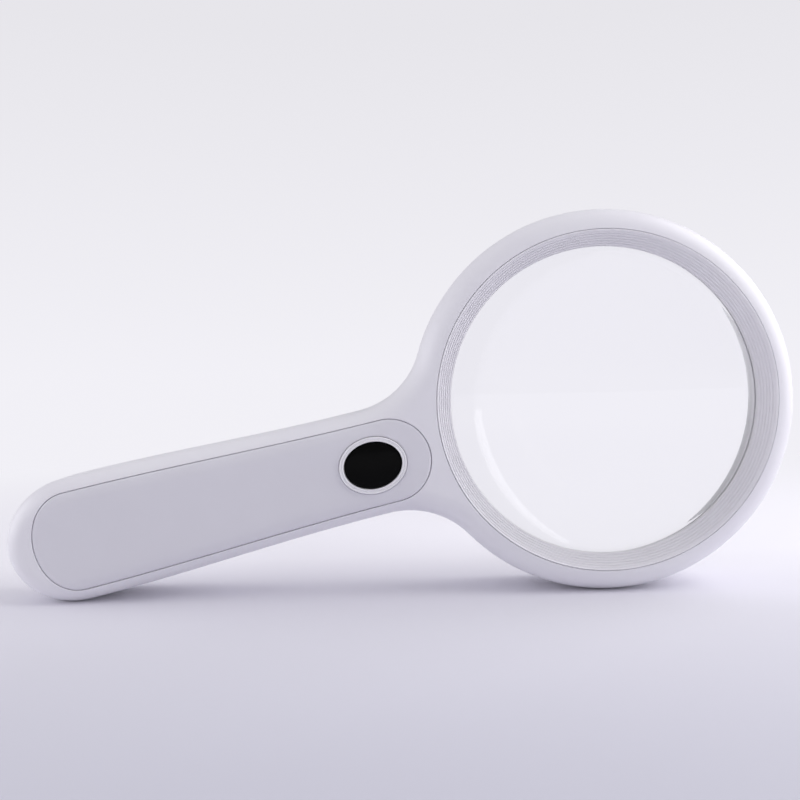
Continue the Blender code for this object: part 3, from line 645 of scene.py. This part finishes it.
def seam_tool(at, away):
    """A block that takes away everything on one side of the seam across the grip."""
    low, high = sorted((at, at + away * 200.0))
    return block((low, -90.0, -40.0), (high, 90.0, 40.0))


def make_rear_casing():
    """The back half as far as the cover, with its mouth for the window and a well for each casing screw."""
    back, hollow = make_back_half()
    window_r = WINDOW_R + GAP
    mouth = [(0.0, 2.0), (window_r, 2.0), *flare(window_r, BACK_Z, -1)]
    tubes, wells = [], []
    for i, place in enumerate(screw_places()):
        seat = extent(f"shell_screw_{i + 1}")[0].z + SCREW_HEAD + GAP
        tubes.append(spun([(0, BACK_Z + 1.2), (2.9, BACK_Z + 1.2), (2.9, 0), (0, 0)], 32, place.xy))
        well = [*reversed(flare(2.2, BACK_Z, -1)), (2.2, seat), (1.3, seat), (1.3, 1), (0, 1)]
        wells.append(spun(well, 32, place.xy))
    shell = carved(
        back,
        ("DIFFERENCE", hollow),
        ("DIFFERENCE", spun(mouth, 192)),
        ("DIFFERENCE", seam_tool(SEAM_X, -1)),
        ("UNION", merged(*tubes)),
        ("DIFFERENCE", merged(*wells)),
    )
    piece("rear_casing", shell, CASING, stands_for=["rear_shell"])


def make_cover():
    """The rest of the back, with a stepped tongue that hooks under the casing and five finger grooves."""
    back, hollow = make_back_half()
    start = SEAM_X - GAP
    tongue_z = BACK_Z + BACK_WALL + GAP
    left, right = -7 - DROP, 7 - DROP
    root = block((start - 4.5, left, tongue_z - 1.0), (start - 1.35, right, tongue_z + 1.0))
    blade = block((start - 2.0, left, tongue_z), (COVER[1].x, right, tongue_z + 1.0))
    grooves = []
    for i in range(5):
        x = start - 13.0 - 2.4 * i
        half = 8.0 * sqrt(1 - (0.5 * (i - 2) / 2.5) ** 2)
        groove = block((x - 0.5, -half - DROP, BACK_Z - 1.0), (x + 0.5, half - DROP, BACK_Z + 0.45))
        grooves.append(softened(groove, 0.2))
    shell = carved(
        back,
        ("DIFFERENCE", hollow),
        ("DIFFERENCE", seam_tool(start, 1)),
        ("UNION", root),
        ("UNION", blade),
        ("DIFFERENCE", merged(*grooves)),
    )
    piece("cover_shell", shell, CASING, "battery_cover", ["battery_cover"])


def make_panel():
    """A skin that follows the casing's crown, with rolled edges and an oval hole for the button's trim."""
    base = PANEL[0].z
    loops = [[(*p, base) for p in panel_outline(0.0)]]
    for margin, depth in [*soft_edge(PANEL_ROLL), (PANEL_ROLL, 0.0)]:
        loops.append([(x, y, crown(x, y) - depth) for x, y in panel_outline(-margin)])
    for inset in PANEL_ROWS:
        loops.append([(x, y, crown(x, y)) for x, y in panel_outline(-inset)])
    panel = carved(skinned(loops), ("DIFFERENCE", rim_tool(trim_oval(SEAM), base - 1.0)))
    piece("grip_skin", panel, SHADED_PANEL_LOOK, stands_for=["grip_panel"])


# ---------------------------------------------------------------- optics and light ring


def make_bezel():
    """A cup whose sloping face is turned in fine ridges down to the lens."""
    top, skirt = BEZEL[1].z, BEZEL[0].z
    rim, flange_r, bore = HOLE_R - SEAM, BEZEL[1].x, LENS_R + 0.4
    profile = [(rim, top - 0.25), (rim, FLANGE_Z[1]), (flange_r, FLANGE_Z[1]), (flange_r, FLANGE_Z[0])]
    profile += [(rim, FLANGE_Z[0]), (rim, skirt), (bore, skirt), (bore, LIP_Z - 1.5)]
    profile += [(APERTURE_R, LIP_Z - 1.5), (APERTURE_R, LIP_Z - 0.2), (APERTURE_R + 0.15, LIP_Z)]
    tread = (rim - 0.55 - APERTURE_R - 0.15) / RIDGES
    rise = (top - LIP_Z) / RIDGES
    for i in range(RIDGES):
        for share, sunk in RIDGE:
            profile.append((APERTURE_R + 0.15 + tread * (i + share), LIP_Z + rise * (i + share) - sunk))
    profile += [(rim - 0.25, top), (rim - 0.07, top - 0.07)]
    piece("bezel_cup", spun(profile, 240), BEZEL_LOOK, stands_for=["bezel_ring"], sharp=50)


def make_lens():
    """Two shallow domes on a ground edge."""
    rise = LENS_CURVE - sqrt(LENS_CURVE**2 - LENS_R**2)
    back, front = LENS[0].z + rise, LENS[1].z - rise
    radii = [LENS_R * i / 28 for i in range(28)] + [LENS_R - 0.25]
    bulge = [sqrt(LENS_CURVE**2 - r**2) - (LENS_CURVE - rise) for r in radii]
    profile = [(r, back - b) for r, b in zip(radii, bulge)] + [(LENS_R, back + 0.2), (LENS_R, front - 0.2)]
    profile += [(r, front + b) for r, b in reversed(list(zip(radii, bulge)))]
    piece("reading_lens", spun(profile, 160), ACRYLIC, stands_for=["lens"], sharp=50)


def make_seats():
    """The soft ring in front of the lens and the ring that holds it from behind, clear of the view."""
    bead = 0.12
    for node, name, lap, look, slot in (
        ("lens_gasket", "lens_seal", 1.0, RUBBER, "rubber"),
        ("lens_retainer", "lens_keeper", 0.8, INNER, "inner_plastic"),
    ):
        low, high = extent(node)
        inner, outer = LENS_R - lap, high.x
        profile = [(inner + bead, low.z), (outer, low.z), (outer, high.z), (inner + bead, high.z)]
        profile += [(inner, high.z - bead), (inner, low.z + bead)]
        piece(name, spun(profile, 160), look, stands_for=[node])


def make_window():
    """A frosted ring over the lamps, with a bead along each edge."""
    low, high = WINDOW
    outer, inner = WINDOW_R, LENS_R - 0.6
    profile = [(inner, low.z + 0.4), (inner + 0.4, low.z), (outer - 0.4, low.z), (outer, low.z + 0.4)]
    profile += [(outer, low.z + 2.1), (high.x, low.z + 2.1), (high.x, low.z + 2.9)]
    profile += [(inner + 1.4, low.z + 2.9), (inner + 1.4, high.z - 0.2), (inner + 1.2, high.z)]
    profile += [(inner, high.z)]
    piece("lamp_window", spun(profile, 160), FROSTED, stands_for=["light_window"])


def make_lamps():
    """Each lamp is a chip with chamfered sides and a round well of phosphor that faces the back."""
    for i in range(1, 13):
        name = f"led_{i:02d}"
        low, high = extent(name)
        centre = middle(name)
        turn = Matrix.Rotation(atan2(centre.y, centre.x), 4, "Z")
        depth = high.z - low.z
        chip = softened(block((-1.4, -1.75, 0.0), (1.4, 1.75, depth)), 0.18)
        well = spun([(0, -0.5), (1.25, -0.5), (1.1, 0.22), (0, 0.22)], 24)
        body = carved(chip, ("DIFFERENCE", well))
        dome = spun([(0, -0.02), (0.5, 0.0), (1.0, 0.1), (1.14, 0.2), (1.05, 0.24), (0, 0.24)], 24)
        for face in dome.faces:
            face.material_index = 1
        lamp = merged(body, dome)
        lamp.transform(Matrix.Translation((centre.x, centre.y, low.z)) @ turn)
        piece(f"lamp_{i:02d}", lamp, [LAMP, PHOSPHOR], stands_for=[name])


# ---------------------------------------------------------------- button


def make_trim():
    """An oval ring with two ridges and a shallow valley between them."""
    half = (TRIM[1] - TRIM[0]) / 2
    low, top = TRIM[0].z, TRIM[1].z
    section = [(0.0, top - low), *TRIM_SECTION, (1.0, top - low)]
    loops = []
    for share, sunk in section:
        across = oval(half.x - TRIM_WIDTH[0] * share, half.y - TRIM_WIDTH[1] * share, 96, (BUTTON_X, -DROP))
        loops.append([(*p, top - sunk) for p in across])
    ring = skinned(loops, is_ring=True)
    piece("button_surround", ring, TRIM_LOOK, stands_for=["button_trim"])


def make_button():
    """A low-crowned cap with a hidden flange, hollowed underneath for its spring and stem."""
    centre = (BUTTON_X, -DROP)
    base, crest = CAP[0].z, CAP[1].z
    wide = ((CAP[1].x - CAP[0].x) / 2, (CAP[1].y - CAP[0].y) / 2)
    a, b = wide[0] - CAP_LIP, wide[1] - CAP_LIP
    levels = [(base, *wide), (base + 1.4, *wide), (base + 1.6, wide[0] - 0.2, wide[1] - 0.2)]
    levels.append((base + 1.6, a, b))
    for i in range(5):
        turn = pi / 2 * i / 4
        inset = 0.5 * (1 - cos(turn))
        levels.append((crest - 0.75 + 0.5 * sin(turn), a - inset, b - inset))
    for share in (0.85, 0.65, 0.4, 0.15):
        levels.append((crest - 0.25 * share**2, (a - 0.5) * share, (b - 0.5) * share))
    loops = [[(*p, z) for p in oval(x, y, 72, centre)] for z, x, y in levels]
    well = spun([(2.2, base - 1), (5.4, base - 1), (5.4, base + 3.6), (2.2, base + 3.6)], 48, centre)
    stem = spun([(0, base - 1), (2.6, base - 1), (2.6, base + GAP), (0, base + GAP)], 32, centre)
    cap = carved(skinned(loops), ("DIFFERENCE", well), ("DIFFERENCE", stem))
    piece("push_cap", cap, CAP_LOOK, "button", ["button_cap"], sharp=50)


def make_spring():
    """A coil under the cap, on a mesh of its own."""
    low, high = extent("button_spring")
    radius = (high.x - low.x) / 2 - SPRING_WIRE
    length = high.z - low.z
    steps = SPRING_TURNS * 28
    bm = bmesh.new()
    start = Matrix.Translation((BUTTON_X + radius, -DROP, low.z + SPRING_WIRE))
    upright = start @ Matrix.Rotation(pi / 2, 4, "X")
    bmesh.ops.create_circle(bm, cap_ends=True, segments=8, radius=SPRING_WIRE, matrix=upright)
    bmesh.ops.spin(
        bm, geom=[*bm.verts, *bm.edges, *bm.faces], cent=(BUTTON_X, -DROP, 0), axis=(0, 0, 1),
        dvec=(0, 0, (length - 2 * SPRING_WIRE) / steps), angle=2 * pi * SPRING_TURNS, steps=steps,
        use_merge=False,
    )
    bmesh.ops.holes_fill(bm, edges=bm.edges, sides=0)
    coil = piece("cap_spring", bm, NICKEL, stands_for=["button_spring"])
    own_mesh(coil)


# ---------------------------------------------------------------- battery box and fastenings


def make_screw(node, body_name):
    """A pan head with a cross recess over a threaded shank. The head faces the back."""
    low, high = extent(node)
    centre = (low + high) / 2
    head_r = (high.x - low.x) / 2
    shank = head_r * 0.5
    profile = [(0, low.z), (head_r * 0.6, low.z + 0.05), (head_r * 0.9, low.z + 0.4), (head_r, low.z + 0.9)]
    under = low.z + SCREW_HEAD
    profile += [(head_r, under), (shank, under)]
    turns = int((high.z - low.z - SCREW_HEAD - 2 * THREAD_PITCH) / THREAD_PITCH)
    for i in range(turns):
        z = under + 0.3 + THREAD_PITCH * i
        profile += [(shank, z), (shank + 0.14, z + 0.3), (shank, z + 0.6)]
    profile += [(shank * 0.8, high.z - 0.7), (0, high.z)]
    arms = []
    for turned_by in (radians(20), radians(110)):
        arm = block((-head_r * 0.55, -0.22, -1.0), (head_r * 0.55, 0.22, 0.7))
        arm.transform(Matrix.Translation((centre.x, centre.y, low.z)) @ Matrix.Rotation(turned_by, 4, "Z"))
        arms.append(arm)
    screw = carved(spun(profile, 32, centre.xy), *[("DIFFERENCE", arm) for arm in arms])
    piece(body_name, screw, ZINC, stands_for=[node])


def make_cells():
    """Sleeved cells with a bright band at the raised end and a crimped bead at each end."""
    for i in range(1, 4):
        low, high = extent(f"battery_{i}")
        centre = (low + high) / 2
        radius, length = (high.z - low.z) / 2, high.x - low.x
        flip = i == 2  # the middle cell lies the other way round
        sleeve = [(0, 0.25), (3.6, 0.25), (3.9, 0.0), (radius - 0.4, 0.0), (radius - 0.1, 0.2), (radius, 0.5)]
        sleeve += [(radius, length - 1.5), (radius - 0.1, length - 1.15), (radius - 0.5, length - 0.9)]
        sleeve += [(2.6, length - 1.0), (1.9, length - 1.0), (1.9, length - 0.2), (1.7, length), (0, length)]
        cell = spun(sleeve, 48)
        for face in cell.faces:
            face.material_index = 2 if face.calc_center_median().xy.length < radius - 0.6 else 0
        facing = -1 if flip else 1
        nub = low.x if flip else high.x
        place = Matrix.Translation((nub - facing * length, centre.y, centre.z))
        cell.transform(place @ Matrix.Rotation(facing * pi / 2, 4, "Y"))
        band = (centre.x + facing * CELL_BAND, 0, 0)
        everything = [*cell.verts, *cell.edges, *cell.faces]
        bmesh.ops.bisect_plane(cell, geom=everything, plane_co=band, plane_no=(1, 0, 0))
        for face in cell.faces:
            if face.material_index < 2:
                along = (face.calc_center_median().x - centre.x) * facing
                face.material_index = int(along > CELL_BAND)
        piece(f"cell_{i}", cell, [SLEEVE, COPPER, NICKEL], stands_for=[f"battery_{i}"])


# ---------------------------------------------------------------- carried-over nodes

CARRIED = {
    "led_board": BOARD, "switch_board": BOARD,
    "switch_housing": SWITCH, "switch_plunger": INNER, "battery_tray": INNER,
    "contact_plus": NICKEL, "contact_minus": NICKEL,
    "contact_link_front": NICKEL, "contact_link_rear": NICKEL,
    "wire_battery_red": RED_WIRE, "wire_lamp_red": RED_WIRE, "wire_battery_black": BLACK_WIRE,
    **{f"battery_spring_{i}": NICKEL for i in (1, 2, 3)},
    **{f"board_resistor_{i}": CHIP for i in (1, 2, 3)},
}


def dress_nodes():
    """Gives the solids that need no finer piece the looks of their real materials."""
    for node, look in CARRIED.items():
        for each in frame["nodes"][node].material_slots:
            each.material = look


# ---------------------------------------------------------------- room


def make_floor():
    """A pale floor, painted darker towards -y as painted shade, that fades into the backdrop with distance
    from the lens.
    """
    bm = bmesh.new()
    bmesh.ops.create_grid(bm, x_segments=2, y_segments=2, size=30.0)
    bmesh.ops.translate(bm, verts=bm.verts, vec=(0, 0, -0.0001))
    mesh = bpy.data.meshes.new("floor")
    bm.to_mesh(mesh)
    bm.free()
    look, tree, shader = shader_of("pale_floor")
    place = add(tree, "ShaderNodeTexCoord").outputs["Object"]
    split = add(tree, "ShaderNodeSeparateXYZ")
    tree.links.new(place, split.inputs[0])
    # painted shade: the floor's colour darkens towards -y, the camera's side, where the light falls off
    painted_shade_near = spread(tree, split.outputs["Y"], 0.0, 1.0, -0.15, 0.05)
    colour = blended(tree, painted_shade_near, (0.60, 0.595, 0.68, 1), (0.93, 0.915, 0.975, 1))
    tree.links.new(colour, shader.inputs["Base Color"])
    shader.inputs["Roughness"].default_value = 0.7
    shader.inputs["Specular IOR Level"].default_value = 0.2
    reach = add(tree, "ShaderNodeVectorMath", operation="LENGTH")
    tree.links.new(place, reach.inputs[0])
    far = spread(tree, reach.outputs["Value"], 0.0, 1.0, 0.1, 0.5, interpolation_type="SMOOTHSTEP")
    glow = add(tree, "ShaderNodeEmission")
    glow.inputs["Color"].default_value = BACKDROP_LOW
    surface = next(n for n in tree.nodes if n.type == "OUTPUT_MATERIAL").inputs["Surface"]
    tree.links.new(shared(tree, far, shader.outputs[0], glow.outputs[0]), surface)
    mesh.materials.append(look)
    floor = bpy.data.objects.new("floor", mesh)
    bpy.context.scene.collection.objects.link(floor)


def make_world():
    """A bright backdrop, seen directly or through the lens, that gives less light than it shows."""
    world = bpy.data.worlds.new("studio")
    bpy.context.scene.world = world
    world.use_nodes = True
    tree = world.node_tree
    fill = tree.nodes["Background"]
    fill.inputs["Color"].default_value = (0.955, 0.945, 1.0, 1)
    fill.inputs["Strength"].default_value = 0.51
    split = add(tree, "ShaderNodeSeparateXYZ")
    tree.links.new(add(tree, "ShaderNodeTexCoord").outputs["Generated"], split.inputs[0])
    height = spread(tree, split.outputs["Z"], 0.0, 1.0, 0.0, 0.35)
    shown = add(tree, "ShaderNodeBackground")
    tree.links.new(blended(tree, height, BACKDROP_LOW, BACKDROP_HIGH), shown.inputs["Color"])
    ray = add(tree, "ShaderNodeLightPath")
    is_seen = add(tree, "ShaderNodeMath", operation="MAXIMUM")
    tree.links.new(ray.outputs["Is Camera Ray"], is_seen.inputs[0])
    tree.links.new(ray.outputs["Is Transmission Ray"], is_seen.inputs[1])
    backdrop = shared(tree, is_seen.outputs[0], fill.outputs[0], shown.outputs[0])
    tree.links.new(backdrop, tree.nodes["World Output"].inputs["Surface"])


def make_lights():
    """Large soft panels to the right, the left and overhead."""
    panels = (
        ("right_panel", (0.72, -0.02, 0.45), (0.9, 0.9), 6.2),
        ("left_panel", (-0.8, -0.04, 0.20), (0.8, 0.5), 2.6),
        ("top_panel", (0.0, 0.1, 0.95), (1.2, 1.0), 0.8),
    )
    for name, place, size, power in panels:
        light = bpy.data.lights.new(name, "AREA")
        light.shape = "RECTANGLE"
        light.size, light.size_y = size
        light.energy = power
        lamp = bpy.data.objects.new(name, light)
        lamp.location = place
        aim = Vector((0.02, 0.0, 0.05)) - lamp.location
        lamp.rotation_euler = aim.to_track_quat("-Z", "Y").to_euler()
        bpy.context.scene.collection.objects.link(lamp)


def make_camera():
    """The viewpoint: from the front and a little above, on the middle of the object."""
    low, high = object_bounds()
    camera = bpy.data.cameras.new("camera")
    camera.sensor_width = 36.0
    camera.lens = 40.5
    eye = bpy.data.objects.new("camera", camera)
    place = Vector(((low.x + high.x) / 2 - 0.0005, low.y - 0.2799, 0.0722))
    yaw, pitch, roll = radians(-0.22), radians(1.96), radians(1.30)
    aim = Matrix.Rotation(yaw, 4, "Z") @ Matrix.Rotation(pi / 2 - pitch, 4, "X")
    turn = aim @ Matrix.Rotation(-roll, 4, "Z")
    eye.matrix_world = Matrix.Translation(place) @ turn
    bpy.context.scene.collection.objects.link(eye)
    bpy.context.scene.camera = eye


make_camera()
make_front_casing()
make_rear_casing()
make_cover()
make_panel()
make_bezel()
make_lens()
make_seats()
make_window()
make_lamps()
make_trim()
make_button()
make_spring()
for number in range(1, 5):
    make_screw(f"shell_screw_{number}", f"casing_screw_{number}")
for number in (1, 2):
    make_screw(f"switch_screw_{number}", f"board_screw_{number}")
    make_screw(f"tray_screw_{number}", f"box_screw_{number}")
make_cells()
dress_nodes()
make_floor()
make_world()
make_lights()
bpy.context.scene.view_settings.view_transform = "Standard"
